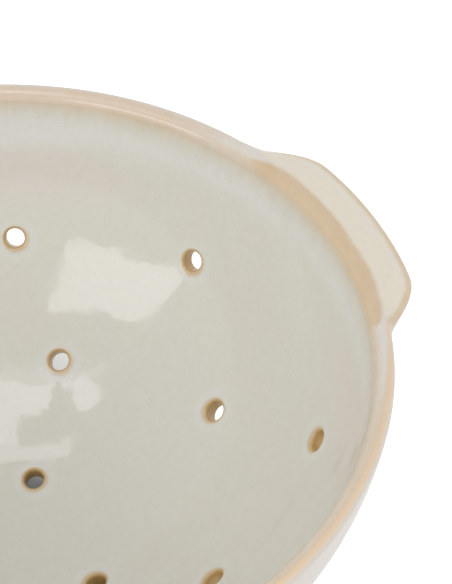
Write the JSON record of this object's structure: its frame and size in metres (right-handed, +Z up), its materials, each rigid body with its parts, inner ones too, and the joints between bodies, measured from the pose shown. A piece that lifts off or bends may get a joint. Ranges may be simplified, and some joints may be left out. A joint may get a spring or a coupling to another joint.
{
  "type": "ceramic colander",
  "caption": "Round glazed stoneware colander bowl with rings of drain holes, a lug handle on each side of its rim and a notched foot ring.",
  "frame": {"origin": "centre of the foot ring's base, on the table", "axes": "+Z up along the bowl's axis, +X through the middle of the right lug handle"},
  "size_m": [0.254, 0.2336, 0.102],
  "materials": {
    "bowl_glaze": "glossy cream glaze that breaks to tan on the edges",
    "handle_glaze": "glossy cream glaze that breaks to tan on the edges",
    "foot_glaze": "glossy cream glaze, wiped off the bare clay that meets the table"
  },
  "bodies": {
    "root": {"bowl": "bowl_glaze", "handle_right": "handle_glaze", "handle_left": "handle_glaze", "foot_ring": "foot_glaze"}
  },
  "joints": []
}
